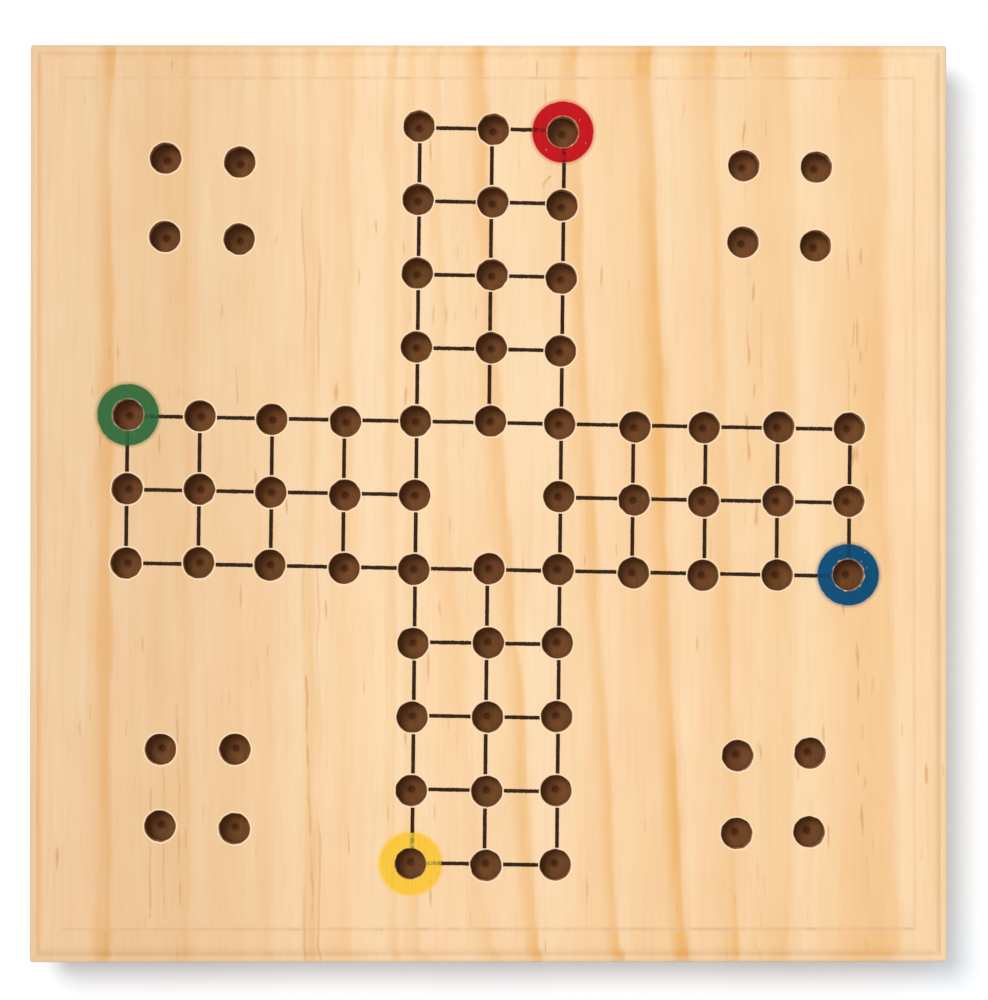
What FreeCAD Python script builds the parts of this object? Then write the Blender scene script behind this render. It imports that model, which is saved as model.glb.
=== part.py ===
"""Ludo board: a pine peg board on a shallow base with a slide-out tray for the pegs and the die.

Millimetres. The origin is the middle of the underside, +Z is up, and the tray slides out towards -Y.
"""

import FreeCAD, Part
import itertools
import math
import os

# Playing board
BOARD_SIDE = 200.0
BOARD_THICKNESS = 11.0
CORNER_RADIUS = 0.6

# Moulded edge of the board, from the outside in: lip, hollow cove, round belly, flat, step up to the field
EDGE_LIP = 0.9
EDGE_COVE_WIDTH = 0.7
EDGE_BELLY_WIDTH = 2.7
EDGE_BELLY_DROP = 0.5
EDGE_FLAT = 2.9
EDGE_STEP = 0.15

# Peg holes, drilled with a spur bit
HOLE_DIAMETER = 6.7
HOLE_DEPTH = 6.5
HOLE_CHAMFER = 0.2
SPUR_DIAMETER = 1.8
SPUR_DEPTH = 1.0

# Lie of the hole pattern on the board. Hand marking leaves it a little off centre and out of square.
TRACK_MARGIN_X = 21.2
TRACK_MARGIN_Y = 19.85
ARM_REACH = 5
LANE_REACH = 1
PATTERN_CENTRE_X = -0.15
PATTERN_CENTRE_Y = 1.5
ROW_LEAN = -1.06
COLUMN_LEAN = -0.61
HOME_MARGIN_X = 37.2
HOME_MARGIN_Y = 35.8
HOME_SPACING_X = 16.0
HOME_SPACING_Y = 17.0
HOME_LEAN = -0.55

# How far hand drilling misses a mark, and how the misses swing: radians per column, per row and at the start
DRILL_WANDER = 0.35
MISS_SWING_X = (2.84, 0.08, 1.83)
MISS_SWING_Y = (1.4, 0.44, 1.12)

# Paint rings around the start holes and ink lines between the holes of the cross
RING_DIAMETER = 13.4
FILM_THICKNESS = 0.1
LINE_WIDTH = 0.85
LINE_GAP = 0.15

# Base under the board
BASE_INSET = 2.0
BOTTOM_THICKNESS = 2.5
BACK_RAIL_WIDTH = 20.0
CROSS_RAIL_WIDTH = 20.0

# Screws that hold the bottom panel
SCREW_LENGTH = 9.0
SCREW_HEAD_DIAMETER = 4.8
SCREW_SHANK_DIAMETER = 2.2
SCREW_HEAD_HEIGHT = 1.3
SCREW_TIP = 1.5
SCREW_RECESS = 0.2
SCREW_INSET = 11.0
SCREWS_PER_SIDE = 4
CROSS_SLOT_LENGTH = 3.0
CROSS_SLOT_WIDTH = 0.6
CROSS_SLOT_DEPTH = 0.7

# Turned pegs
PEG_LENGTH = 24.0
PEG_SHANK_DIAMETER = 6.2
PEG_SHANK_LENGTH = 6.0
PEG_COLLAR_DIAMETER = 8.0
PEG_COLLAR_LENGTH = 2.0
PEG_NECK_DIAMETER = 4.2
PEG_WAIST = 0.7
PEG_EDGE = 0.4
PEGS_PER_COLOUR = 4

# Die
DIE_SIZE = 8.0
DIE_ROUNDING = 1.0
PIP_DIAMETER = 1.3
PIP_DEPTH = 0.35
PIP_SPACING = 2.1

# Tray and its fit
TRAY_CLEARANCE = 0.3
TRAY_FLOOR = 2.0
TRAY_FRONT = 8.0
TRAY_BACK = 4.0
TRAY_SIDE = 4.0
TRAY_HEADROOM = 0.9
DIVIDER_THICKNESS = 3.0
DIVIDER_HEIGHT = 5.5
DIE_BAY_LENGTH = 30.0
NOTCH_WIDTH = 26.0
NOTCH_DEPTH = 6.0
STOP_LENGTH = 6.0
STOP_HEIGHT = 1.2

# Room around what lies in the tray
PEG_END_GAP = 1.0
PEG_SIDE_GAP = 0.6
DIE_CORNER_GAP = 1.0
SEAT_GAP = 0.05

# How far a cutting tool runs past what it cuts
OVERRUN = 5.0

COLOURS = ("red", "green", "blue", "yellow")

# Start hole of each colour, as column and row of the cross
START_HOLES = {
    "red": (LANE_REACH, ARM_REACH),
    "green": (-ARM_REACH, LANE_REACH),
    "blue": (ARM_REACH, -LANE_REACH),
    "yellow": (-LANE_REACH, -ARM_REACH),
}

# Places of the pips on a face, in steps of the pip spacing, and the way each face looks
PIP_PLACES = {
    1: [(0, 0)],
    2: [(-1, -1), (1, 1)],
    3: [(-1, -1), (0, 0), (1, 1)],
    4: [(-1, -1), (-1, 1), (1, -1), (1, 1)],
    5: [(-1, -1), (-1, 1), (0, 0), (1, -1), (1, 1)],
    6: [(-1, -1), (-1, 0), (-1, 1), (1, -1), (1, 0), (1, 1)],
}
DIE_FACES = {1: (0, 0, -1), 6: (0, 0, 1), 2: (0, -1, 0), 5: (0, 1, 0), 3: (-1, 0, 0), 4: (1, 0, 0)}

# Spacing of the holes of the cross, and the middle of each home square
pitch_across = (BOARD_SIDE / 2 - TRACK_MARGIN_X) / ARM_REACH
pitch_along = (BOARD_SIDE / 2 - TRACK_MARGIN_Y) / ARM_REACH
home_centre_x = BOARD_SIDE / 2 - HOME_MARGIN_X
home_centre_y = BOARD_SIDE / 2 - HOME_MARGIN_Y

# Heights and widths that follow from the contents of the tray
content_height = max(PEG_COLLAR_DIAMETER, DIE_SIZE)
tray_height = TRAY_FLOOR + content_height + TRAY_HEADROOM
rail_height = tray_height + 2 * TRAY_CLEARANCE
rail_top = BOTTOM_THICKNESS + rail_height
board_top = rail_top + BOARD_THICKNESS
tray_bottom = BOTTOM_THICKNESS + TRAY_CLEARANCE
tray_top = tray_bottom + tray_height
floor_top = tray_bottom + TRAY_FLOOR
side_top = rail_top - STOP_HEIGHT - TRAY_CLEARANCE

peg_room = PEG_LENGTH + 2 * PEG_END_GAP
peg_pitch = PEG_COLLAR_DIAMETER + PEG_SIDE_GAP
peg_bay_length = PEGS_PER_COLOUR * peg_pitch + PEG_SIDE_GAP
tray_inner_width = len(COLOURS) * peg_room
tray_width = tray_inner_width + 2 * TRAY_SIDE
tray_length = TRAY_FRONT + peg_bay_length + DIVIDER_THICKNESS + DIE_BAY_LENGTH + TRAY_BACK

base_half = BOARD_SIDE / 2 - BASE_INSET
rail_inner = tray_width / 2 + TRAY_CLEARANCE
front_y = -base_half
bay_front_y = front_y + TRAY_FRONT
divider_y = bay_front_y + peg_bay_length
die_bay_y = divider_y + DIVIDER_THICKNESS
tray_back_y = front_y + tray_length


def vector(x, y, z):
    return FreeCAD.Vector(x, y, z)


def block(low, high):
    """A box from its lowest to its highest corner."""
    size = [h - l for l, h in zip(low, high)]
    return Part.makeBox(*size, vector(*low))


def vertical_edges(shape):
    """The edges of a shape that run straight up."""
    return [e for e in shape.Edges if e.BoundBox.XLength < 1e-6 and e.BoundBox.YLength < 1e-6]


def turned(edges):
    """A solid turned about Z from edges that lie in the XZ plane and close on the axis."""
    face = Part.Face(Part.Wire(Part.__sortEdges__(edges)))
    return face.revolve(vector(0, 0, 0), vector(0, 0, 1), 360)


def polyline(points):
    """Straight edges through (radius, height) points."""
    corners = [vector(r, 0, z) for r, z in points]
    return [Part.LineSegment(a, b).toShape() for a, b in zip(corners, corners[1:])]


def arc(start, middle, end):
    """A round edge through three (radius, height) points."""
    return Part.Arc(*(vector(r, 0, z) for r, z in (start, middle, end))).toShape()


def along(length, lean_degrees, quarter_turns=0):
    """A step of a given length along +X, turned by whole quarters and a small lean."""
    angle = math.radians(lean_degrees + 90 * quarter_turns)
    return length * math.cos(angle), length * math.sin(angle)


def drilled(mark, column, row):
    """Where the drill goes in: beside the mark by a little that differs from hole to hole."""
    swings = (MISS_SWING_X, MISS_SWING_Y)
    return tuple(m + DRILL_WANDER * math.sin(a * column + b * row + c) for m, (a, b, c) in zip(mark, swings))


def track_marks():
    """The marked places of the cross by column and row."""
    across, up = along(pitch_across, ROW_LEAN), along(pitch_along, COLUMN_LEAN, 1)
    marks = {}
    reach = range(-ARM_REACH, ARM_REACH + 1)
    for row, column in itertools.product(reach, repeat=2):
        in_cross = abs(row) <= LANE_REACH or abs(column) <= LANE_REACH
        if in_cross and (column, row) != (0, 0):
            x = PATTERN_CENTRE_X + column * across[0] + row * up[0]
            y = PATTERN_CENTRE_Y + column * across[1] + row * up[1]
            marks[column, row] = (x, y)
    return marks


def home_holes():
    """The four holes of each home square, by the square's side signs and the hole's side signs."""
    holes = {}
    for side_x, side_y, hole_x, hole_y in itertools.product((-1, 1), repeat=4):
        across = along(side_x * home_centre_x + hole_x * HOME_SPACING_X / 2, HOME_LEAN)
        up = along(side_y * home_centre_y + hole_y * HOME_SPACING_Y / 2, HOME_LEAN, 1)
        mark = (PATTERN_CENTRE_X + across[0] + up[0], PATTERN_CENTRE_Y + across[1] + up[1])
        column, row = side_x * ARM_REACH + hole_x, side_y * ARM_REACH + hole_y
        holes[side_x, side_y, hole_x, hole_y] = drilled(mark, column, row)
    return holes


def hole_tool():
    """The space of one peg hole, with its rim at the origin."""
    radius = HOLE_DIAMETER / 2
    rim = radius + HOLE_CHAMFER
    tip = -HOLE_DEPTH - SPUR_DEPTH
    points = [
        (0, OVERRUN), (rim, OVERRUN), (rim, 0), (radius, -HOLE_CHAMFER), (radius, -HOLE_DEPTH),
        (SPUR_DIAMETER / 2, -HOLE_DEPTH), (0, tip), (0, OVERRUN),
    ]
    return turned(polyline(points))


def edge_tool():
    """What the moulding cutter takes off the board's -X side."""
    steepest = 2 * math.atan2(EDGE_BELLY_DROP, EDGE_BELLY_WIDTH)
    belly_radius = EDGE_BELLY_WIDTH / math.sin(steepest)
    cove_radius = EDGE_COVE_WIDTH / math.sin(steepest)
    cove_drop = cove_radius * (1 - math.cos(steepest))
    outside = -BOARD_SIDE / 2
    lip = (outside + EDGE_LIP, board_top - EDGE_STEP - EDGE_BELLY_DROP - cove_drop)
    turn = (lip[0] + EDGE_COVE_WIDTH, lip[1] + cove_drop)
    crest = (turn[0] + EDGE_BELLY_WIDTH, board_top - EDGE_STEP)
    field = crest[0] + EDGE_FLAT
    half = steepest / 2
    cove_middle = (lip[0] + cove_radius * math.sin(half), lip[1] + cove_radius * (1 - math.cos(half)))
    belly_middle = (crest[0] - belly_radius * math.sin(half), crest[1] - belly_radius * (1 - math.cos(half)))
    above, clear = board_top + OVERRUN, outside - OVERRUN
    edges = polyline([crest, (field, crest[1]), (field, above), (clear, above), (clear, lip[1]), lip])
    edges += [arc(lip, cove_middle, turn), arc(turn, belly_middle, crest)]
    face = Part.Face(Part.Wire(Part.__sortEdges__(edges)))
    run = BOARD_SIDE + 2 * OVERRUN
    return face.translated(vector(0, -run / 2, 0)).extrude(vector(0, run, 0))


def playing_board(holes):
    half = BOARD_SIDE / 2
    board = block((-half, -half, rail_top), (half, half, board_top))
    board = board.makeFillet(CORNER_RADIUS, vertical_edges(board))
    cutter = edge_tool()
    for quarter in range(4):
        board = board.cut(cutter.rotated(vector(0, 0, 0), vector(0, 0, 1), 90 * quarter))
    drill = hole_tool()
    return board.cut([drill.translated(vector(x, y, board_top)) for x, y in holes])


def start_ring(x, y):
    """A film of paint around one start hole."""
    outer = Part.makeCylinder(RING_DIAMETER / 2, FILM_THICKNESS, vector(x, y, board_top))
    inner = Part.makeCylinder(HOLE_DIAMETER / 2 + HOLE_CHAMFER, FILM_THICKNESS, vector(x, y, board_top))
    return outer.cut(inner)


def line_strip(marks, holes, clear):
    """A strip of ink on the line through two marks, stopping clear of the holes drilled there."""
    (start_x, start_y), (end_x, end_y) = marks
    angle = math.atan2(end_y - start_y, end_x - start_x)
    first, last = [(x - start_x) * math.cos(angle) + (y - start_y) * math.sin(angle) for x, y in holes]
    half = LINE_WIDTH / 2
    strip = block((first + clear[0], -half, 0), (last - clear[1], half, FILM_THICKNESS))
    strip = strip.rotated(vector(0, 0, 0), vector(0, 0, 1), math.degrees(angle))
    return strip.translated(vector(start_x, start_y, board_top))


def track_lines(marks, holes):
    """The strips between neighbouring holes of the cross."""
    plain_clear = HOLE_DIAMETER / 2 + HOLE_CHAMFER + LINE_GAP
    ring_clear = RING_DIAMETER / 2
    clear = {place: ring_clear if place in START_HOLES.values() else plain_clear for place in holes}
    strips = []
    for column, row in holes:
        for neighbour in ((column + 1, row), (column, row + 1)):
            if neighbour in holes:
                pair = ((column, row), neighbour)
                strips.append(line_strip(*([lie[place] for place in pair] for lie in (marks, holes, clear))))
    return Part.makeCompound(strips)


def screw_places():
    """Screws in a row down each side rail, and two in the back rail."""
    edge = base_half - SCREW_INSET
    step = 2 * edge / (SCREWS_PER_SIDE - 1)
    places = [(side * edge, -edge + step * i) for side in (-1, 1) for i in range(SCREWS_PER_SIDE)]
    back_y = base_half - BACK_RAIL_WIDTH / 2
    return places + [(side * rail_inner / 2, back_y) for side in (-1, 1)]


def screw_body():
    """A plain countersunk screw pointing up, with its head just inside the underside."""
    head, shank = SCREW_HEAD_DIAMETER / 2, SCREW_SHANK_DIAMETER / 2
    points = [
        (0, SCREW_RECESS), (head, SCREW_RECESS), (shank, SCREW_RECESS + SCREW_HEAD_HEIGHT),
        (shank, SCREW_LENGTH - SCREW_TIP), (0, SCREW_LENGTH), (0, SCREW_RECESS),
    ]
    return turned(polyline(points))


def screw():
    """One screw with a cross slot in its head."""
    reach, half = CROSS_SLOT_LENGTH / 2, CROSS_SLOT_WIDTH / 2
    slot_top = SCREW_RECESS + CROSS_SLOT_DEPTH
    long_slot = block((-reach, -half, 0), (reach, half, slot_top))
    cross_slot = block((-half, -reach, 0), (half, reach, slot_top))
    return screw_body().cut([long_slot, cross_slot])


def at_screws(shape):
    return [shape.translated(vector(x, y, 0)) for x, y in screw_places()]


def base_pieces():
    """The rails and the bottom panel, drilled for the screws."""
    rail_bottom = BOTTOM_THICKNESS
    cross_y = tray_back_y + TRAY_CLEARANCE
    pieces = {
        "left_rail": block((-base_half, -base_half, rail_bottom), (-rail_inner, base_half, rail_top)),
        "right_rail": block((rail_inner, -base_half, rail_bottom), (base_half, base_half, rail_top)),
        "back_rail": block(
            (-rail_inner, base_half - BACK_RAIL_WIDTH, rail_bottom), (rail_inner, base_half, rail_top)
        ),
        "cross_rail": block(
            (-rail_inner, cross_y, rail_bottom), (rail_inner, cross_y + CROSS_RAIL_WIDTH, rail_top)
        ),
        "bottom_panel": block((-base_half, -base_half, 0), (base_half, base_half, BOTTOM_THICKNESS)),
    }
    recess = Part.makeCylinder(SCREW_HEAD_DIAMETER / 2, SCREW_RECESS)
    seats = at_screws(screw_body()) + at_screws(recess)
    return {name: piece.cut(seats) for name, piece in pieces.items()}


def tray_stop(side):
    """A block under the board that the tray's back meets when the tray is open."""
    inner, outer = tray_width / 2 - TRAY_SIDE, tray_width / 2
    low_x = min(side * inner, side * outer)
    start_y = bay_front_y + TRAY_CLEARANCE
    return block(
        (low_x, start_y, rail_top - STOP_HEIGHT), (low_x + TRAY_SIDE, start_y + STOP_LENGTH, rail_top)
    )


def tray_front():
    """The front of the tray, with a round notch for a fingertip in its top edge."""
    half = tray_width / 2
    front = block((-half, front_y, tray_bottom), (half, bay_front_y, tray_top))
    notch_radius = (NOTCH_WIDTH ** 2 / 4 + NOTCH_DEPTH ** 2) / (2 * NOTCH_DEPTH)
    centre = vector(0, front_y - OVERRUN, tray_top - NOTCH_DEPTH + notch_radius)
    return front.cut(Part.makeCylinder(notch_radius, TRAY_FRONT + 2 * OVERRUN, centre, vector(0, 1, 0)))


def tray_pieces():
    half, inner = tray_width / 2, tray_inner_width / 2
    back_front_y = tray_back_y - TRAY_BACK
    return {
        "tray_floor": block((-half, bay_front_y, tray_bottom), (half, tray_back_y, floor_top)),
        "tray_front": tray_front(),
        "tray_back": block((-half, back_front_y, floor_top), (half, tray_back_y, tray_top)),
        "tray_left_side": block((-half, bay_front_y, floor_top), (-inner, back_front_y, side_top)),
        "tray_right_side": block((inner, bay_front_y, floor_top), (half, back_front_y, side_top)),
        "tray_divider": block(
            (-inner, divider_y, floor_top), (inner, die_bay_y, floor_top + DIVIDER_HEIGHT)
        ),
    }


def peg():
    """A turned peg standing on its shank at the origin: shank, collar, waisted body and ball head."""
    shank, collar, neck = PEG_SHANK_DIAMETER / 2, PEG_COLLAR_DIAMETER / 2, PEG_NECK_DIAMETER / 2
    collar_top = PEG_SHANK_LENGTH + PEG_COLLAR_LENGTH
    head_middle = PEG_LENGTH - collar
    neck_height = head_middle - math.sqrt(collar ** 2 - neck ** 2)
    shoulder = (collar - PEG_EDGE, collar_top)
    waist = ((shoulder[0] + neck) / 2 - PEG_WAIST, (collar_top + neck_height) / 2)
    edges = polyline([
        (0, 0), (shank - PEG_EDGE, 0), (shank, PEG_EDGE), (shank, PEG_SHANK_LENGTH),
        (collar - PEG_EDGE, PEG_SHANK_LENGTH), (collar, PEG_SHANK_LENGTH + PEG_EDGE),
        (collar, collar_top - PEG_EDGE), shoulder,
    ])
    edges.append(arc(shoulder, waist, (neck, neck_height)))
    edges.append(arc((neck, neck_height), (collar, head_middle), (0, PEG_LENGTH)))
    edges += polyline([(0, PEG_LENGTH), (0, 0)])
    return turned(edges)


def pegs():
    """A column of pegs for each colour, lying across the front bay, with heads left and right in turn."""
    lying = peg().translated(vector(0, 0, -PEG_LENGTH / 2)).rotated(vector(0, 0, 0), vector(0, 1, 0), 90)
    height = floor_top + PEG_COLLAR_DIAMETER / 2 + SEAT_GAP
    pieces = {}
    for column, colour in enumerate(COLOURS):
        x = -tray_inner_width / 2 + (column + 0.5) * peg_room
        for number in range(PEGS_PER_COLOUR):
            y = bay_front_y + PEG_SIDE_GAP / 2 + (number + 0.5) * peg_pitch
            placed = lying.rotated(vector(0, 0, 0), vector(0, 0, 1), 180 * (number % 2))
            pieces[f"peg_{colour}_{number + 1}"] = placed.translated(vector(x, y, height))
    return pieces


def die():
    """A rounded die with a dimple for each pip, lying in the left corner of the rear bay."""
    half = DIE_SIZE / 2
    cube = block((-half, -half, -half), (half, half, half))
    cube = cube.makeFillet(DIE_ROUNDING, cube.Edges)
    ball_radius = (PIP_DIAMETER ** 2 / 4 + PIP_DEPTH ** 2) / (2 * PIP_DEPTH)
    dimples = []
    for pips, normal in DIE_FACES.items():
        across = vector(normal[1], normal[2], normal[0])
        up = vector(*normal).cross(across)
        centre = vector(*normal) * (half - PIP_DEPTH + ball_radius)
        for a, b in PIP_PLACES[pips]:
            place = centre + across * (a * PIP_SPACING) + up * (b * PIP_SPACING)
            dimples.append(Part.makeSphere(ball_radius, place))
    x = -tray_inner_width / 2 + DIE_CORNER_GAP + half
    y = die_bay_y + DIE_CORNER_GAP + half
    return cube.cut(dimples).translated(vector(x, y, floor_top + SEAT_GAP + half))


track_mark = track_marks()
track = {place: drilled(mark, *place) for place, mark in track_mark.items()}
homes = home_holes()
nodes = {"playing_board": playing_board(list(track.values()) + list(homes.values()))}
for ring_colour, start_place in START_HOLES.items():
    nodes[f"start_ring_{ring_colour}"] = start_ring(*track[start_place])
nodes["track_lines"] = track_lines(track_mark, track)
nodes.update(base_pieces())
nodes["bottom_screws"] = Part.makeCompound(at_screws(screw()))
nodes["tray_stop_left"] = tray_stop(-1)
nodes["tray_stop_right"] = tray_stop(1)
nodes.update(tray_pieces())
nodes.update(pegs())
nodes["die"] = die()

os.makedirs("parts", exist_ok=True)
for name, shape in nodes.items():
    shape.exportStep(f"parts/{name}.step")
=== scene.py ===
"""Looks of a wooden ludo board: moulded pine, stained holes, inked lines, painted rings, pegs and a die.

Metres, in the frame of the model: +Z is up, and the tray slides out towards -Y. Materials measure in mm.
"""

import math

import bmesh
import bpy
import numpy as np
from mathutils import Matrix, Vector
from mathutils.geometry import delaunay_2d_cdt


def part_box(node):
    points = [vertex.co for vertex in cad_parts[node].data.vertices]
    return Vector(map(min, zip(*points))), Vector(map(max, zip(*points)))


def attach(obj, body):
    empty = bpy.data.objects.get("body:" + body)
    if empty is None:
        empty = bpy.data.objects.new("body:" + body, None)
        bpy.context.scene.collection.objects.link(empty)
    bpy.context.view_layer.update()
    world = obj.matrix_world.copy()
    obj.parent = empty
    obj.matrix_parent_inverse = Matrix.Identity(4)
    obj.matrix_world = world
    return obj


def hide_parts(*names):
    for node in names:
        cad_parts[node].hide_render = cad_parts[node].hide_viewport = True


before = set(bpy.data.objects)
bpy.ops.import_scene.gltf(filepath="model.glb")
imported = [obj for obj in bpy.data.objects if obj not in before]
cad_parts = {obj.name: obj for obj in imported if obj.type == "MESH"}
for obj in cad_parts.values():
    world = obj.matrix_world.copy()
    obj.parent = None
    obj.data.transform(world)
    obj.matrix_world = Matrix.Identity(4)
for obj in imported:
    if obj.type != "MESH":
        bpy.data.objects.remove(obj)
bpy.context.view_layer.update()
MM = 0.001
BOARD_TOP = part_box("playing_board")[1].z

# Moulded edge of the board, from the outside in: lip, cove, belly, flat and the step up to the field
EDGE_LIP = 0.9 * MM
EDGE_COVE = 0.7 * MM
EDGE_BELLY = 2.7 * MM
EDGE_BELLY_DROP = 0.5 * MM
EDGE_FLAT = 2.9 * MM
EDGE_STEP = 0.15 * MM
EDGE_WIDTH = EDGE_LIP + EDGE_COVE + EDGE_BELLY + EDGE_FLAT
STEP_SPREAD = 1.0 * MM
CORNER_RADIUS = 0.6 * MM
LEAST_RADIUS = 0.04 * MM
EDGE_SOFTENING = 0.2 * MM
ARC_STEPS = 8
SIDE_STEPS = 30
FIELD_GRID = 5.0 * MM
FIELD_WELD_GAP = 1e-9

# Peg holes
HOLE_RADIUS = 3.35 * MM
HOLE_DEPTH = 6.5 * MM
HOLE_CHAMFER = 0.2 * MM
HOLE_CORNER = 0.35 * MM
HOLE_POINTS = 80
HOLE_RAGGED = 0.035 * MM
HOLE_SEED = 7

# Pit of the drill's spur: its profile is in shares of its radius and depth
SPUR_RADIUS = 0.9 * MM
SPUR_DEPTH = 1.0 * MM
SPUR_PROFILE = ((1.15, 0.14), (0.75, 0.4), (0.4, 0.75))
TIP_TOLERANCE = 0.05 * MM

# Rims of the holes and the splinters broken out of them
RIM_WIDTH = 0.2 * MM
RIM_RAGGED = 0.04 * MM
RIM_INSET = 0.12 * MM
CHIPS_PER_HOLE = 4
CHIP_SIZE = (0.06 * MM, 0.25 * MM)
CHIP_SHARE = (0.2, 1.0)
CHIP_WIDTH = (0.05, 0.14)
CHIP_SCATTER = 0.9

# Inked lines
LINE_HALF_WIDTH = 0.425 * MM
INK_HEIGHT = 0.02 * MM
INK_STEP = 0.12 * MM
INK_RAGGED_ACROSS_GRAIN = 0.035 * MM
INK_RAGGED_ALONG_GRAIN = 0.015 * MM
INK_RAGGED_LIMIT = 2.2
INK_SWELLS = 7
INK_SWELL_SHARE = 0.5
INK_SEED = 11

# Painted rings
PAINT_HEIGHT = 0.05 * MM
PAINT_RAGGED = 0.05 * MM
PAINT_POINTS = 180
PAINT_LOOPS = 16
PAINT_OVERLAP = 0.08 * MM
PAINT_SEED = 21

# Ink under the paint: how near a line ends, how far it runs on, and where across its half width it fades
INK_MEETS_PAINT = 0.6 * MM
INK_RUNS_ON = (-1.0 * MM, 4.0 * MM)
INK_FULL = 0.8
INK_FADE = 0.4

# Turned pegs
PEG_LENGTH = 24.0 * MM
PEG_SHANK_RADIUS = 3.1 * MM
PEG_SHANK_LENGTH = 6.0 * MM
PEG_COLLAR_RADIUS = 4.0 * MM
PEG_COLLAR_LENGTH = 2.0 * MM
PEG_NECK_RADIUS = 2.1 * MM
PEG_WAIST = 0.7 * MM
PEG_EDGE = 0.4 * MM
PEG_POINTS = 64
PEG_ARC_STEPS = 24

# Die: its rounded edge, and how deep a face lies in a dimple at the least
DIE_EDGE = 1.2 * MM
DIMPLE_LEAST = 0.012 * MM

# Softened edges of the sawn pieces
SAWN_SOFTENING = 0.3 * MM
PLY_SOFTENING = 0.15 * MM
SAWN_STEPS = 3
SHARP_ANGLE = math.radians(35)
FLAT_ANGLE = math.radians(0.5)
WELD_GAP = 1e-6

# Sawn pine: each piece's body, the turn of its grain in whole turns and the shift of its figure in mm
SAWN_PIECES = {
    "left_rail": ("box", 0.0, (31.0, 0.0, 0.0)),
    "right_rail": ("box", 0.0, (-48.0, 40.0, 5.0)),
    "back_rail": ("box", 0.25, (9.0, 12.0, 3.0)),
    "cross_rail": ("box", 0.25, (64.0, 5.0, 8.0)),
    "tray_stop_left": ("box", 0.25, (20.0, 7.0, 2.0)),
    "tray_stop_right": ("box", 0.25, (12.0, 9.0, 4.0)),
    "tray_front": ("tray", 0.25, (-50.0, 30.0, 6.0)),
    "tray_back": ("tray", 0.25, (15.0, 2.0, 1.0)),
    "tray_left_side": ("tray", 0.0, (70.0, 20.0, 2.0)),
    "tray_right_side": ("tray", 0.0, (-25.0, 60.0, 7.0)),
    "tray_divider": ("tray", 0.25, (33.0, 25.0, 5.0)),
}

COLOURS = ("red", "green", "blue", "yellow")
PEGS_PER_COLOUR = 4

# Colours as seen: red, green and blue from 0 to 255
EARLYWOOD = (252, 221, 179)
LATEWOOD = (240, 184, 112)
ROSY = (253, 209, 163)
HONEY = (249, 215, 164)
FIBRE_SHADE = (236, 192, 142)
FIBRE_SHINE = (255, 230, 196)
RESIN = (219, 159, 98)
LEFT_TONE = (243, 238, 233)
NEAR_TONE = (253, 250, 247)
# Painted shade on the moulded slopes, darker and warmer the more they lean
SLOPE_SHADE = (246, 234, 220)
HANDLED = (214, 192, 166)
# Dust along the step, which also stands for the step's painted shade
STEP_DUST_AND_SHADE = (232, 188, 144)
END_GRAIN = (230, 190, 146)
FRESH_RIM = (254, 228, 192)
STAIN = (129, 86, 49)
STAIN_DARK = (109, 71, 39)
STAIN_RED = (124, 76, 54)
# Painted light: hole walls paler than the floor, standing for the light that reaches them
WALL_PAINTED_LIGHT = (178, 128, 88)
# Painted shade in the spur's pit
SPUR_PAINTED_SHADE = (68, 36, 20)
INK = (48, 31, 22)
INK_THIN = (92, 62, 42)
PLY_FACE = (236, 205, 163)
PLY_CORE = (203, 160, 112)
GLUE = (150, 112, 74)
STEEL = (190, 188, 182)
DIE_WHITE = (240, 236, 226)
PIP_BLACK = (24, 23, 22)
PAINTS = {"red": (200, 20, 30), "green": (58, 111, 62), "blue": (12, 79, 120), "yellow": (253, 201, 64)}
OVER_INK = {"red": (98, 12, 18), "green": (36, 70, 46), "blue": (10, 60, 98), "yellow": (150, 144, 60)}
WORN = (212, 194, 180)

# How far each ring's paint is worn at the hole and bled into the wood around it
PAINT_WEAR = {"red": 0.6, "green": 0.6, "blue": 0.6, "yellow": 0.0}
PAINT_BLEED = {"red": 0.45, "green": 0.45, "blue": 0.45, "yellow": 0.75}
BLEED_WIDTH = 0.9

# Growth rings: where each ends at the board's far edge, how dark its latewood is and how far that reaches
GROWTH_RINGS = (
    (-83.0, 0.68, 4.6), (-66.0, 0.42, 2.4), (-66.0, 0.26, 22.0), (-54.2, 0.16, 9.0), (-48.0, 0.16, 7.0),
    (-38.6, 0.36, 3.0), (-31.0, 0.26, 6.0), (-21.2, 0.36, 2.6), (-17.4, 0.22, 2.4), (-11.4, 0.32, 3.0),
    (-1.6, 0.64, 5.0), (-1.6, 0.20, 14.0), (18.4, 0.64, 5.5), (18.4, 0.20, 15.0), (34.6, 0.95, 6.5),
    (34.6, 0.42, 18.0), (48.4, 0.55, 5.0), (48.4, 0.40, 12.0), (64.4, 0.46, 20.0), (79.0, 0.40, 4.0),
    (84.6, 0.56, 18.0),
)
RING_EDGE = 1.2
RING_EDGE_SHARE = 0.12
RING_GRAIN = 1.8
END_GRAIN_BOOST = 1.2
BAND_BOOST = 1.25

# Half the side of the board and of its field
BOARD_REACH = round(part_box("playing_board")[1].x / MM, 3)
FIELD_REACH = BOARD_REACH - EDGE_WIDTH / MM

# Shift of the rings from the far edge to the near one, and their slant through the thickness, by place across
# the board: from here, to here, from this, to this, and whether it sets in smoothly
RING_SHIFTS = (
    (-20.0, 4.0, 0.0, 13.0, True),
    (5.0, 54.0, 0.0, -6.5, False),
    (52.0, 66.0, 0.0, -6.0, True),
    (70.0, 84.0, 0.0, 3.2, True),
)
RING_SLANTS = ((-70.0, -15.0, 0.2, 1.3, True), (20.0, 90.0, 0.0, -2.5, True))

# Waver of the rings: waves per mm along X, Y and Z, and how far they carry a ring aside
RING_WAVERS = (((0.02, 0.012, 0.03), 3.0), ((0.14, 0.045, 0.14), 3.0))

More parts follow.
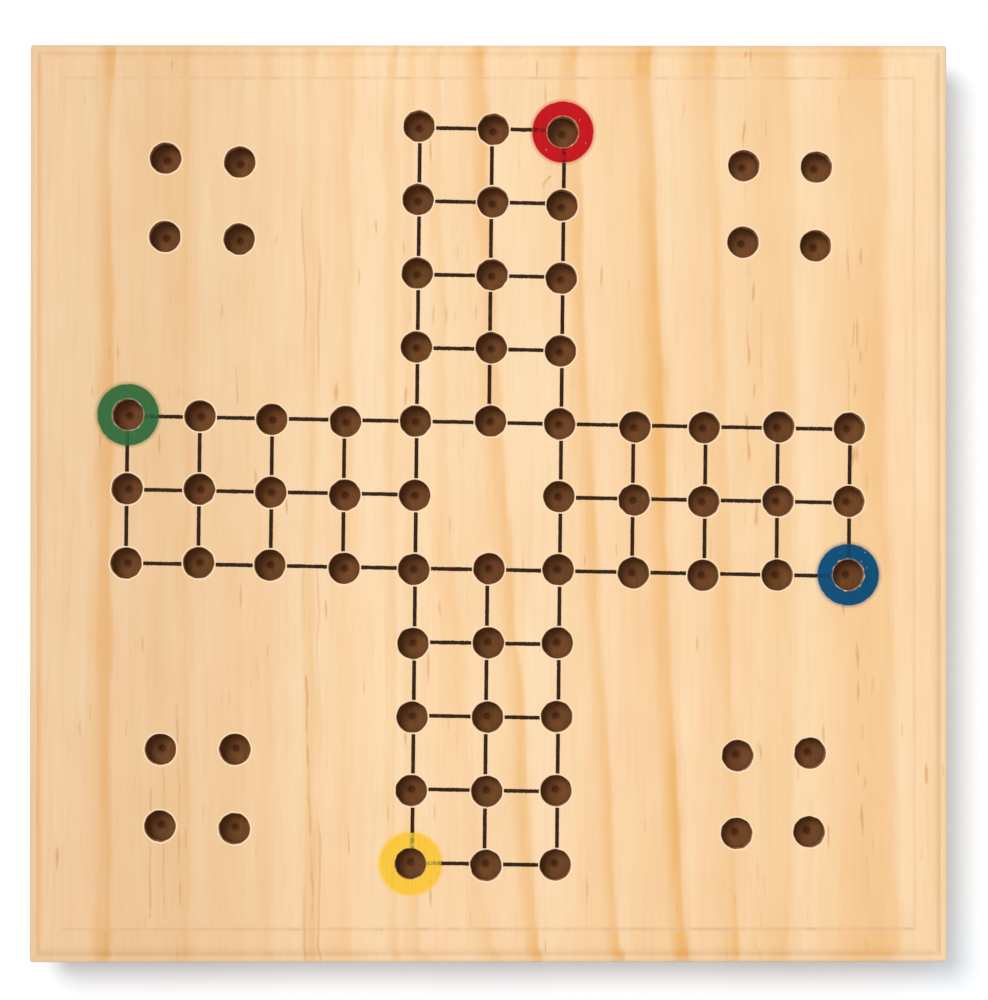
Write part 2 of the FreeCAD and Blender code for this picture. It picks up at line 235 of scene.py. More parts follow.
# Rows of resin dashes and long resin threads along the rings
DASH_ROWS = (55.8, 79.6)
DASH_ROW_WIDTH = 3.0
THREADS = (-67.6, -40.4, -37.2, 45.5)
THREAD_WIDTH = 0.45

# Fine dark lines in the board's top: both ends, and how dark the line is. The first two are a small crack.
FINE_LINES = (
    ((13.3, 71.3), (12.1, 69.8), 0.9),
    ((12.1, 69.8), (12.1, 66.5), 0.9),
    ((-73.7, -62.0), (-73.7, -90.0), 0.5),
    ((-70.9, -58.0), (-70.6, -90.0), 0.4),
    ((-67.9, -44.0), (-67.2, -88.0), 0.7),
    ((-39.9, -38.0), (-38.4, -90.0), 0.75),
)
FINE_LINE_WIDTH = 0.42
FINE_LINE_WAVER = 1.2

# Tones of the board: where the left and the near one set in, how upright the moulded slopes are for their
# painted shade, how far from the outside hands have darkened it, and how far dust and the step's painted
# shade reach beside the step
LEFT_FADE = (-20.0, -75.0)
NEAR_FADE = (-35.0, -90.0)
SLOPE_UPRIGHT = (0.995, 0.94)
HELD_FADE = (1.3, 0.2)
HELD_MOST = 0.4
DUST_AND_SHADE_FADE = (0.1, 0.6)

# Stain in the holes: where the walls' painted light sets in above the floor,
# and how deep and how dark the painted shade in the spur's pit is
WALL_LIGHT_FADE = (0.2, 2.0)
PIT_SHARE = 0.6
PIT_SHADE_MOST = 0.65

# Camera: where it stands over the board's top and the point of the top that it looks at, in mm
CAMERA_PLACE = (-8.3, -13.6, 1050.0)
CAMERA_TARGET = (1.1, 0.66)
CAMERA_LENS = 173.36
CAMERA_SENSOR = 36.0
CAMERA_REACH = 10.0

# Light: the sky's share, and the share, lean from straight above and spread of each lamp in the upper left
SKY_LIGHT = 0.42
SKY_TINT = (0.95, 1.0, 1.06)
LAMPS = {"lamp_above": (0.18, 4.0, 30.0), "lamp_aside": (0.40, 20.0, 18.0)}
LAMP_TINT = (1.035, 1.0, 0.955)
LAMP_HEADING = -42.0
FLOOR_WHITE = 0.96
FLOOR_GLOW = (0.03, 0.085, 0.13)
FLOOR_GAP = 0.1 * MM
FLOOR_SIDE = 6.0


def paint(colour):
    """A seen colour as the linear values that a shader takes."""
    return (*(((c / 255 + 0.055) / 1.055) ** 2.4 for c in colour), 1.0)


def deeper(base, share):
    """A linear colour with only a share of its light."""
    return (*(c * share for c in base[:3]), 1.0)


class Shader:
    """A material whose nodes are added and joined by short calls."""

    def __init__(self, name):
        self.material = bpy.data.materials.new(name)
        self.material.use_nodes = True
        self.nodes = self.material.node_tree.nodes
        self.links = self.material.node_tree.links
        self.surface = self.nodes["Principled BSDF"]

    def put(self, socket, value):
        if isinstance(value, bpy.types.NodeSocket):
            self.links.new(value, socket)
        else:
            socket.default_value = value

    def put_all(self, sockets, values):
        for socket, value in zip(sockets, values):
            self.put(socket, value)

    def set(self, **inputs):
        """Sets inputs of the surface, named with _ for a space."""
        for name, value in inputs.items():
            self.put(self.surface.inputs[name.replace("_", " ")], value)

    def add(self, kind, inputs=None, **settings):
        node = self.nodes.new("ShaderNode" + kind)
        for name, value in settings.items():
            setattr(node, name, value)
        for name, value in (inputs or {}).items():
            self.put(node.inputs[name], value)
        return node

    def math(self, operation, *values, clamp=False):
        node = self.add("Math", operation=operation, use_clamp=clamp)
        self.put_all(node.inputs, values)
        return node.outputs[0]

    def vector(self, operation, *values):
        node = self.add("VectorMath", operation=operation)
        self.put_all(node.inputs, values)
        return node.outputs["Value" if operation in ("DOT_PRODUCT", "LENGTH", "DISTANCE") else "Vector"]

    def mix(self, factor, first, second, blend="MIX"):
        """Mixes two colours, which are the node's sockets 6 and 7."""
        node = self.add("Mix", data_type="RGBA", blend_type=blend)
        self.put_all((node.inputs[0], node.inputs[6], node.inputs[7]), (factor, first, second))
        return node.outputs[2]

    def span(self, value, low, high, to_low=0.0, to_high=1.0, smooth=True):
        """Maps a value from one span to another, held at its ends."""
        node = self.add("MapRange", {"Value": value, "From Min": low, "From Max": high})
        node.interpolation_type = "SMOOTHSTEP" if smooth else "LINEAR"
        self.put(node.inputs["To Min"], to_low)
        self.put(node.inputs["To Max"], to_high)
        return node.outputs[0]

    def noise(self, place, stretch, detail=2.0, roughness=0.5):
        """Noise with so many waves per mm along X, Y and Z."""
        scaled = self.vector("MULTIPLY", place, stretch)
        inputs = {"Vector": scaled, "Scale": 1.0, "Detail": detail, "Roughness": roughness}
        return self.add("TexNoise", inputs).outputs[0]

    def place(self, turn=0.0, shift=(0.0, 0.0, 0.0), output="Object", kind="POINT", scale=1000.0):
        """Where a point lies in the piece, in mm, turned about Z so that the grain runs along Y."""
        source = self.add("TexCoord").outputs[output]
        inputs = {"Vector": source, "Rotation": (0, 0, turn), "Scale": (scale, scale, scale)}
        node = self.add("Mapping", inputs, vector_type=kind)
        if kind == "POINT":
            node.inputs["Location"].default_value = shift
        return node.outputs[0]

    def split(self, vector):
        return self.add("SeparateXYZ", {"Vector": vector}).outputs

    def bump(self, height, strength, distance):
        inputs = {"Strength": strength, "Distance": distance, "Height": height}
        self.set(Normal=self.add("Bump", inputs).outputs[0])


# Wood

def summed(shader, value, spans):
    """The sum of several spans of one value."""
    total = 0.0
    for low, high, to_low, to_high, smooth in spans:
        total = shader.math("ADD", total, shader.span(value, low, high, to_low, to_high, smooth))
    return total


def across_rings(shader, place):
    """How far a point lies across the growth rings, which bend, slant through the thickness and waver."""
    x, y, z = shader.split(place)
    down = shader.span(y, BOARD_REACH, -BOARD_REACH, smooth=False)
    bend = shader.math("MULTIPLY", down, shader.math("MULTIPLY_ADD", down, 0.5, 0.5))
    depth = shader.math("SUBTRACT", BOARD_TOP / MM, z)
    across = shader.math("SUBTRACT", x, shader.math("MULTIPLY", bend, summed(shader, x, RING_SHIFTS)))
    slanted = shader.math("MULTIPLY", summed(shader, x, RING_SLANTS), depth)
    across = shader.math("SUBTRACT", across, slanted)
    for stretch, reach in RING_WAVERS:
        waver = shader.math("SUBTRACT", shader.noise(place, stretch), 0.5)
        across = shader.math("MULTIPLY_ADD", waver, reach, across)
    return across


def latewood(shader, place, across, end_grain):
    """How dark the wood is: each ring darkens towards its end, then turns pale. End grain shows it more."""
    strength = shader.span(shader.noise(place, (0.12, 0.02, 0.12), 2.0), 0.3, 0.7, 0.7, 1.2)
    boost = shader.math("MULTIPLY_ADD", end_grain, END_GRAIN_BOOST, 1.0)
    strength = shader.math("MULTIPLY", strength, boost)
    along = shader.math("ABSOLUTE", shader.split(place)[1])
    boost = shader.span(along, FIELD_REACH, FIELD_REACH + 1.0, 1.0, BAND_BOOST)
    strength = shader.math("MULTIPLY", strength, boost)
    grainy = shader.math("SUBTRACT", shader.noise(place, (0.9, 0.05, 0.9), 3.0), 0.5)
    across = shader.math("MULTIPLY_ADD", grainy, RING_GRAIN, across)
    total = 0.0
    for end, darkness, reach in GROWTH_RINGS:
        rise = shader.span(across, end - reach, end)
        edge = RING_EDGE + RING_EDGE_SHARE * reach
        ring = shader.math("MULTIPLY", rise, shader.span(across, end, end + edge, darkness, 0.0))
        total = shader.math("MAXIMUM", total, ring)
    return shader.math("MULTIPLY", total, strength, clamp=True)


def near_rows(shader, across, rows, width):
    """1 on any of the rows, falling to 0 at a width beside them."""
    total = 0.0
    for row in rows:
        beside = shader.math("ABSOLUTE", shader.math("SUBTRACT", across, row))
        total = shader.math("MAXIMUM", total, shader.span(beside, 0.3 * width, width, 1.0, 0.0))
    return total


def resin(shader, place, across):
    """How much resin shows: short dashes in a few rows, and a few long threads."""
    gap = shader.span(shader.noise(place, (0.06, 0.022, 0.06), 1.0), 0.45, 0.6)
    dash = shader.span(shader.noise(place, (1.0, 0.14, 1.0), 0.0), 0.62, 0.82, 0.0, 0.75)
    dash = shader.math("MULTIPLY", dash, near_rows(shader, across, DASH_ROWS, DASH_ROW_WIDTH))
    dash = shader.math("MULTIPLY", dash, shader.math("MULTIPLY_ADD", gap, 0.75, 0.25))
    thread = shader.math("MULTIPLY", near_rows(shader, across, THREADS, THREAD_WIDTH), gap)
    stray = shader.span(shader.noise(place, (1.1, 0.11, 1.1), 0.0), 0.8, 0.92, 0.0, 0.6)
    return shader.math("MAXIMUM", shader.math("MAXIMUM", dash, stray), shader.math("MULTIPLY", thread, 0.4))


def toned(shader, place, colour):
    """The colour with rosy and honey-coloured streaks, fine fibres and soft clouds over it."""
    streaks = (
        ((0.15, 0.014, 0.15), ROSY, 0.5),
        ((0.24, 0.02, 0.24), HONEY, 0.4),
        ((0.09, 0.05, 0.09), FIBRE_SHADE, 0.12),
    )
    for stretch, tone, most in streaks:
        streak = shader.span(shader.noise(place, stretch), 0.42, 0.68, 0.0, most)
        colour = shader.mix(streak, colour, paint(tone))
    for stretch, most in (((1.7, 0.07, 1.7), 0.24), ((0.6, 0.03, 0.6), 0.15)):
        fibre = shader.noise(place, stretch, 3.0)
        colour = shader.mix(shader.span(fibre, 0.48, 0.78, 0.0, most), colour, paint(FIBRE_SHADE))
        colour = shader.mix(shader.span(fibre, 0.48, 0.22, 0.0, most), colour, paint(FIBRE_SHINE))
    return colour


def pine(name, turn=0.0, shift=(0.0, 0.0, 0.0)):
    """Sanded pine: growth rings, fibres, resin and darker end grain, solid through the piece."""
    shader = Shader(name)
    place = shader.place(turn, shift)
    facing = shader.split(shader.place(turn, output="Normal", kind="VECTOR", scale=1.0))
    end_grain = shader.math("POWER", shader.math("ABSOLUTE", facing[1]), 4.0)
    across = across_rings(shader, place)
    dark = latewood(shader, place, across, end_grain)
    colour = shader.mix(dark, toned(shader, place, paint(EARLYWOOD)), paint(LATEWOOD))
    colour = shader.mix(resin(shader, place, across), colour, paint(RESIN))
    colour = shader.mix(shader.math("MULTIPLY", end_grain, 0.6), colour, paint(END_GRAIN), "MULTIPLY")
    fibre = shader.noise(place, (2.6, 0.05, 2.6), 3.0)
    roughness = shader.span(fibre, 0.3, 0.7, 0.52, 0.66)
    shader.set(Base_Color=colour, Roughness=roughness, Specular_IOR_Level=0.2)
    shader.bump(fibre, 0.12, 0.04 * MM)
    return shader


def fine_lines(shader, place):
    """How dark the fine lines in the board's top are: straight between their ends but for a small waver."""
    top = BOARD_TOP / MM
    waver = shader.math("SUBTRACT", shader.noise(place, (0.05, 0.09, 0.05)), 0.5)
    aside = shader.vector("MULTIPLY", (FINE_LINE_WAVER, 0.0, 0.0), waver)
    patch = shader.span(shader.noise(place, (0.3, 0.16, 0.3), 1.0), 0.35, 0.6, 0.15, 1.0)
    total = 0.0
    for start, end, darkness in FINE_LINES:
        run = Vector((*end, top)) - Vector((*start, top))
        away = shader.vector("SUBTRACT", place, (*start, top))
        forward = shader.vector("DOT_PRODUCT", away, run.normalized())
        share = shader.span(forward, 0.0, run.length, smooth=False)
        beside = shader.vector("SUBTRACT", away, shader.vector("MULTIPLY", tuple(run), share))
        gap = shader.vector("LENGTH", shader.vector("ADD", beside, aside))
        total = shader.math("MAXIMUM", total, shader.span(gap, 0.0, FINE_LINE_WIDTH, darkness, 0.0))
    return shader.math("MULTIPLY", total, patch)


def bled(shader, place, colour):
    """The colour with a little of each ring's paint bled into the wood around it."""
    for name, strength in PAINT_BLEED.items():
        low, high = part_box(f"start_ring_{name}")
        middle = ((low.x + high.x) / 2 / MM, (low.y + high.y) / 2 / MM, low.z / MM)
        radius = (high.x - low.x) / 2 / MM
        away = shader.vector("DISTANCE", place, middle)
        bleed = shader.span(away, radius, radius + BLEED_WIDTH, strength, 0.0)
        colour = shader.mix(bleed, colour, paint(PAINTS[name]))
    return colour


def board_pine():
    """The playing board's pine: darker on the left, with painted shade on its slopes, greyer where it is
    held.
    """
    shader = pine("board_pine")
    colour = shader.surface.inputs["Base Color"].links[0].from_socket
    place = shader.place()
    x, y, _ = shader.split(place)
    upright = shader.split(shader.place(output="Normal", kind="VECTOR", scale=1.0))[2]
    colour = shader.mix(fine_lines(shader, place), colour, paint(RESIN))
    sideways, lengthways = shader.math("ABSOLUTE", x), shader.math("ABSOLUTE", y)
    across_grain = shader.math("GREATER_THAN", lengthways, sideways)
    from_middle = shader.math("MAXIMUM", sideways, lengthways)
    colour = shader.mix(shader.span(x, *LEFT_FADE), colour, paint(LEFT_TONE), "MULTIPLY")
    colour = shader.mix(shader.span(y, *NEAR_FADE), colour, paint(NEAR_TONE), "MULTIPLY")
    # Painted shade on the moulded slopes, fainter on the near and far sides
    slope = shader.span(upright, *SLOPE_UPRIGHT)
    slope = shader.math("MULTIPLY", slope, shader.span(across_grain, 0.0, 1.0, 1.0, 0.6))
    colour = shader.mix(slope, colour, paint(SLOPE_SHADE), "MULTIPLY")
    held_from, held_to = (BOARD_REACH - inset for inset in HELD_FADE)
    held = shader.span(from_middle, held_from, held_to, 0.0, HELD_MOST)
    held = shader.math("MULTIPLY", held, shader.span(upright, 0.3, 0.8))
    colour = shader.mix(held, colour, paint(HANDLED))
    # Dust beside the step, partly the step's painted shade, mostly on the near and far sides
    beside = shader.math("ABSOLUTE", shader.math("SUBTRACT", from_middle, FIELD_REACH))
    patch = shader.span(shader.noise(place, (0.25, 0.25, 0.25), 3.0), 0.4, 0.65, 0.25, 0.8)
    dust_and_shade = shader.math("MULTIPLY", shader.span(beside, *DUST_AND_SHADE_FADE, 1.0, 0.0), patch)
    dust_and_shade = shader.math("MULTIPLY", dust_and_shade, shader.span(across_grain, 0.0, 1.0, 0.1, 1.0))
    colour = shader.mix(dust_and_shade, colour, paint(STEP_DUST_AND_SHADE))
    shader.set(Base_Color=bled(shader, place, colour))
    return shader.material


def fresh_rim():
    """Bare wood cut open around a hole."""
    shader = Shader("fresh_rim")
    fleck = shader.noise(shader.place(), (3.0, 0.6, 3.0), 2.0)
    colour = shader.mix(shader.span(fleck, 0.45, 0.75, 0.0, 0.6), paint(FRESH_RIM), paint(EARLYWOOD))
    shader.set(Base_Color=colour, Roughness=0.7, Specular_IOR_Level=0.2)
    return shader.material


def stain():
    """Brown stain inside the holes, soaked in unevenly, with painted light on the walls and painted shade in
    the spur's pit.
    """
    shader = Shader("hole_stain")
    place = shader.place()
    patch = shader.noise(place, (0.35, 0.12, 0.35), 2.0)
    fibre = shader.noise(place, (3.0, 0.5, 3.0), 2.0)
    soaked = shader.span(patch, 0.35, 0.65, 0.0, 0.6)
    soaked = shader.math("ADD", soaked, shader.span(fibre, 0.4, 0.7, 0.0, 0.4))
    height = shader.split(place)[2]
    bottom = (BOARD_TOP - HOLE_DEPTH) / MM
    # Painted light on the walls, from a little above the floor up
    wall = shader.span(height, bottom + WALL_LIGHT_FADE[0], bottom + WALL_LIGHT_FADE[1])
    # Painted shade, darker down into the spur's pit
    pit = shader.span(height, bottom, bottom - PIT_SHARE * SPUR_DEPTH / MM, 0.0, PIT_SHADE_MOST)
    red = shader.span(shader.noise(place, (0.06, 0.06, 0.0), 1.0), 0.45, 0.65, 0.0, 0.3)
    colour = shader.mix(soaked, paint(STAIN), paint(STAIN_DARK))
    colour = shader.mix(red, colour, paint(STAIN_RED))
    colour = shader.mix(wall, colour, paint(WALL_PAINTED_LIGHT))
    colour = shader.mix(pit, colour, paint(SPUR_PAINTED_SHADE))
    shader.set(Base_Color=colour, Roughness=0.7, Specular_IOR_Level=0.05)
    shader.bump(fibre, 0.2, 0.05 * MM)
    return shader.material


def plywood(name, node, turn=0.0):
    """Thin plywood: a fine-grained face, and three plies with dark glue between them on the edges."""
    shader = Shader(name)
    low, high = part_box(node)
    place = shader.place(turn)
    fibre = shader.noise(place, (2.2, 0.06, 2.2), 3.0)
    figure = shader.noise(place, (0.12, 0.012, 0.12), 3.0)
    face = shader.mix(shader.span(fibre, 0.35, 0.75, 0.0, 0.6), paint(PLY_FACE), paint(FIBRE_SHADE))
    face = shader.mix(shader.span(figure, 0.45, 0.6, 0.0, 0.35), face, paint(PLY_CORE))
    level = shader.span(shader.split(place)[2], low.z / MM, high.z / MM, 0.0, 3.0, smooth=False)
    ply = shader.math("FLOOR", level)
    core = shader.math("COMPARE", ply, 1.0, 0.1)
    edge = shader.mix(core, face, paint(PLY_CORE))
    seam = shader.math("MAXIMUM", *(shader.math("COMPARE", level, joint, 0.06) for joint in (1.0, 2.0)))
    colour = shader.mix(seam, edge, paint(GLUE))
    shader.set(Base_Color=colour, Roughness=0.62, Specular_IOR_Level=0.3)
    shader.bump(fibre, 0.15, 0.05 * MM)
    return shader.material


# Ink, paint, lacquer, plastic and steel

def ink():
    """Ink soaked into the wood, thinner where the fibres are hard."""
    shader = Shader("line_ink")
    fibre = shader.noise(shader.place(), (2.6, 0.4, 2.6), 3.0)
    colour = shader.mix(shader.span(fibre, 0.5, 0.8, 0.0, 0.7), paint(INK), paint(INK_THIN))
    shader.set(Base_Color=colour, Roughness=0.8, Specular_IOR_Level=0.08)
    return shader.material


def ring_paint(colour_name):
    """Thin paint with the grain showing, nicked in places, darker over the inked lines."""
    shader = Shader(f"ring_{colour_name}")
    place = shader.place()
    base = paint(PAINTS[colour_name])
    fibre = shader.noise(place, (2.4, 0.08, 2.4), 3.0)
    colour = shader.mix(shader.span(fibre, 0.4, 0.75, 0.0, 0.8), base, deeper(base, 0.86))
    patchy = shader.span(shader.noise(place, (1.3, 1.3, 1.3), 2.0), 0.35, 0.65, 0.35, 1.0)
    under = shader.add("Attribute", attribute_name="ink_under").outputs["Fac"]
    colour = shader.mix(shader.math("MULTIPLY", under, patchy), colour, paint(OVER_INK[colour_name]))
    worn = shader.add("Attribute", attribute_name="worn").outputs["Fac"]
    colour = shader.mix(shader.math("MULTIPLY", worn, patchy), colour, paint(WORN))
    nick = shader.noise(place, (2.2, 0.9, 2.2), 1.0)
    colour = shader.mix(shader.span(nick, 0.76, 0.80, 0.0, 0.7), colour, paint(EARLYWOOD))
    shader.set(Base_Color=colour, Roughness=0.65, Specular_IOR_Level=0.05)
    shader.bump(fibre, 0.15, 0.03 * MM)
    return shader.material


def lacquer(colour_name):
    """Dipped gloss lacquer over turned wood, with faint turning marks."""
    shader = Shader(f"peg_{colour_name}")
    place = shader.place()
    base = paint(PAINTS[colour_name])
    drift = shader.noise(place, (0.2, 0.9, 0.9), 2.0)
    colour = shader.mix(shader.span(drift, 0.35, 0.7, 0.0, 0.7), base, deeper(base, 0.8))
    marks = shader.noise(place, (5.0, 0.05, 0.05), 2.0)
    shader.set(Base_Color=colour, Roughness=0.32, Coat_Weight=0.5, Coat_Roughness=0.12)
    shader.bump(marks, 0.12, 0.03 * MM)
    return shader.material


def plastic(name, seen, roughness):
    """Moulded plastic with the faintest unevenness."""
    shader = Shader(name)
    cloud = shader.noise(shader.place(), (0.7, 0.7, 0.7), 2.0)
    base = paint(seen)
    shader.set(Base_Color=shader.mix(cloud, base, deeper(base, 0.93)), Roughness=roughness)
    return shader.material


def steel():
    """Zinc-plated steel."""
    shader = Shader("screw_steel")
    cloud = shader.noise(shader.place(), (1.6, 1.6, 1.6), 3.0)
    base = paint(STEEL)
    roughness = shader.span(cloud, 0.3, 0.7, 0.28, 0.45)
    shader.set(Base_Color=shader.mix(cloud, base, deeper(base, 0.7)), Metallic=1.0, Roughness=roughness)
    return shader.material


# Meshes

class Gathered:
    """Points and faces of one piece, gathered loop by loop, with a material number for each face."""

    def __init__(self):
        self.points, self.faces, self.kinds = [], [], []

    def loop(self, points):
        """Adds points and returns their numbers."""
        first = len(self.points)
        self.points.extend(tuple(p) for p in points)
        return list(range(first, len(self.points)))

    def circle(self, centre, radius, angles, height):
        """Adds a level loop about a centre, with a radius for each angle."""
        xs, ys = centre[0] + radius * np.cos(angles), centre[1] + radius * np.sin(angles)
        return self.loop((x, y, height) for x, y in zip(xs, ys))

    def face(self, corners, kind=0):
        self.faces.append(tuple(corners))
        self.kinds.append(kind)

    def band(self, inner, outer, kind=0):
        """Four-sided faces between two closed loops with as many points."""
        for i, (a, b) in enumerate(zip(inner, outer)):
            following = (i + 1) % len(inner)
            self.face((a, inner[following], outer[following], b), kind)

    def fan(self, loop, tip, kind=0):
        """Three-sided faces from a closed loop to one point."""
        for a, b in zip(loop, loop[1:] + loop[:1]):
            self.face((a, b, tip), kind)

    def piece(self, name, materials):
        """The gathered faces as an object."""
        mesh = bpy.data.meshes.new(name)
        mesh.from_pydata(self.points, [], self.faces)
        mesh.polygons.foreach_set("material_index", self.kinds)
        return finished(name, mesh, materials)


def finished(name, mesh, materials):
    """An object of a mesh, with its faces turned outwards and its sharp edges kept sharp."""
    made = bmesh.new()
    made.from_mesh(mesh)
    bmesh.ops.recalc_face_normals(made, faces=made.faces)
    for face in made.faces:
        face.smooth = True
    for edge in made.edges:
        edge.smooth = edge.calc_face_angle(0.0) < SHARP_ANGLE
    made.to_mesh(mesh)
    made.free()
    for material in materials:
        mesh.materials.append(material)
    piece = bpy.data.objects.new(name, mesh)
    bpy.context.scene.collection.objects.link(piece)
    return piece


def place_piece(piece, body, slot, *nodes):
    """Fixes a piece to its body and hides the solids that it stands for. The name of its finish is not used.
    """
    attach(piece, body)
    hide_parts(*nodes)


def welded(node):
    """A copy of a node's mesh with its split points joined."""
    made = bmesh.new()
    made.from_mesh(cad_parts[node].data)
    bmesh.ops.remove_doubles(made, verts=made.verts, dist=WELD_GAP)
    return made


def whole_faced(node):
    """A welded copy of a node's mesh with its flat faces whole."""
    made = welded(node)
    bmesh.ops.dissolve_limit(made, angle_limit=FLAT_ANGLE, verts=made.verts, edges=made.edges)
    return made


def softened(node, material, width=SAWN_SOFTENING):
    """A node's own shape with its sharp edges rounded a little, as sanding leaves them."""
    made = whole_faced(node)
    sharp = [e for e in made.edges if e.calc_face_angle(0.0) > SHARP_ANGLE]
    bmesh.ops.bevel(
        made, geom=sharp, offset=width, segments=SAWN_STEPS, profile=0.5, affect="EDGES", clamp_overlap=True
    )
    mesh = bpy.data.meshes.new(node)
    made.to_mesh(mesh)
    made.free()
    return finished(f"{node}_wood", mesh, [material])


# Playing board, with the numbers of its three materials

BOARD_WOOD, RIM_WOOD, HOLE_STAIN = range(3)


def square_loop(half, radius, height):
    """A loop around a square with rounded corners."""
    reach = half - radius
    points = []
    for quarter in range(4):
        turn = Matrix.Rotation(quarter * math.pi / 2, 2)
        for step in range(ARC_STEPS + 1):
            angle = math.pi / 2 * step / ARC_STEPS
            corner = Vector((reach + radius * math.cos(angle), reach + radius * math.sin(angle)))
            points.append(turn @ corner)
        for step in range(1, SIDE_STEPS):
            points.append(turn @ Vector((reach - 2 * reach * step / SIDE_STEPS, half)))
    return [(p.x, p.y, height) for p in points]


def quarter_arc(centre, radius, start, steps=4):
    """Points of a quarter circle in the profile plane, turning from a start angle towards larger angles."""
    angles = [start + math.pi / 2 * i / steps for i in range(steps + 1)]
    return [(centre[0] + radius * math.cos(a), centre[1] + radius * math.sin(a)) for a in angles]


def edge_profile(bottom, top):
    """The board's edge from the field to the underside, as (distance from the outside, height)."""
    soft = EDGE_SOFTENING
    steepest = 2 * math.atan2(EDGE_BELLY_DROP, EDGE_BELLY)
    belly_radius = EDGE_BELLY / math.sin(steepest)
    cove_radius = EDGE_COVE / math.sin(steepest)
    angles = [steepest * i / ARC_STEPS for i in range(ARC_STEPS + 1)]
    shares = [i / ARC_STEPS for i in range(ARC_STEPS + 1)]
    flat_top = top - EDGE_STEP
    step = [
        (EDGE_WIDTH + STEP_SPREAD * (0.5 - share), top - EDGE_STEP * (1 - math.cos(math.pi * share)) / 2)
        for share in shares
    ]
    crest = EDGE_WIDTH - EDGE_FLAT
    belly = [
        (crest - belly_radius * math.sin(a), flat_top - belly_radius * (1 - math.cos(a)))
        for a in angles
    ]
    lip_top = belly[-1][1] - cove_radius * (1 - math.cos(steepest))
    cove = [
        (EDGE_LIP + cove_radius * math.sin(a), lip_top + cove_radius * (1 - math.cos(a)))
        for a in reversed(angles)
    ]
    lip = quarter_arc((soft, lip_top - soft), soft, math.pi / 2)
    foot = quarter_arc((soft, bottom + soft), soft, math.pi)
    return step + belly + cove[1:] + lip + foot


def hole_places():
    """The middle of each drilled hole: the lowest points inside the board are the tips of the spurs' pits."""
    tip = BOARD_TOP - HOLE_DEPTH - SPUR_DEPTH
    points = [v.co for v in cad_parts["playing_board"].data.vertices]
    return sorted({(round(p.x, 5), round(p.y, 5)) for p in points if abs(p.z - tip) < TIP_TOLERANCE})


def ragged(draw, angles, size, lowest=2, highest=12):
    """A small unevenness around a circle, made of a few waves."""
    total = np.zeros_like(angles)
    for wave in range(lowest, highest):
        total += draw.normal() * np.cos(wave * angles + draw.uniform(0, 2 * math.pi))
    return size * total / math.sqrt(highest - lowest)


def chips(draw, angles):
    """Small splinters broken out of a rim, mostly where the drill crosses the fibres."""
    total = np.zeros_like(angles)
    for _ in range(CHIPS_PER_HOLE):
        middle = draw.choice((0.0, math.pi)) + draw.normal() * CHIP_SCATTER
        away = np.angle(np.exp(1j * (angles - middle)))
        size, width = draw.uniform(*CHIP_SIZE), draw.uniform(*CHIP_WIDTH)
        total = np.maximum(total, size * np.exp(-(away / width) ** 2) * draw.uniform(*CHIP_SHARE))
    return total


def drilled_hole(board, centre, top, draw):
    """One hole: ragged rim of bare wood, stained wall and floor, and the spur's pit. Returns its outline."""
    angles = np.arange(HOLE_POINTS) * 2 * math.pi / HOLE_POINTS
    wall = HOLE_RADIUS + ragged(draw, angles, HOLE_RAGGED)
    uneven = np.maximum(ragged(draw, angles, RIM_RAGGED), -RIM_INSET)
    rim = wall + HOLE_CHAMFER + uneven + chips(draw, angles)
    floor = top - HOLE_DEPTH
    even = np.ones(HOLE_POINTS)
    profile = [
        (rim, top, RIM_WOOD),
        ((rim + wall) / 2, top - 0.3 * HOLE_CHAMFER, RIM_WOOD),
        (wall, top - HOLE_CHAMFER, HOLE_STAIN),
        (wall, floor + HOLE_CORNER, HOLE_STAIN),
        (wall - 0.3 * HOLE_CORNER, floor + 0.3 * HOLE_CORNER, HOLE_STAIN),
        (wall - HOLE_CORNER, floor, HOLE_STAIN),
        (0.5 * HOLE_RADIUS * even, floor, HOLE_STAIN),
    ]
    for radius_share, depth_share in SPUR_PROFILE:
        profile.append((radius_share * SPUR_RADIUS * even, floor - depth_share * SPUR_DEPTH, HOLE_STAIN))
    outline = board.circle(centre, rim + RIM_WIDTH, angles, top)
    outer = outline
    for radius, height, kind in profile:
        inner = board.circle(centre, radius, angles, height)
        board.band(inner, outer, kind)
        outer = inner
    tip = board.loop([(centre[0], centre[1], floor - SPUR_DEPTH)])[0]
    board.fan(outer, tip, HOLE_STAIN)
    return outline


def field_points(holes, half):
    """A plain grid of points on the field, clear of the holes, so that its faces stay well shaped."""
    count = int(half / FIELD_GRID)
    steps = [FIELD_GRID * i for i in range(-count, count + 1)]
    clear = HOLE_RADIUS + HOLE_CHAMFER + 0.25 * FIELD_GRID
    inside = half - 0.3 * FIELD_GRID
    return [
        (x, y) for x in steps for y in steps
        if max(abs(x), abs(y)) < inside and all(math.hypot(x - a, y - b) > clear for a, b in holes)
    ]


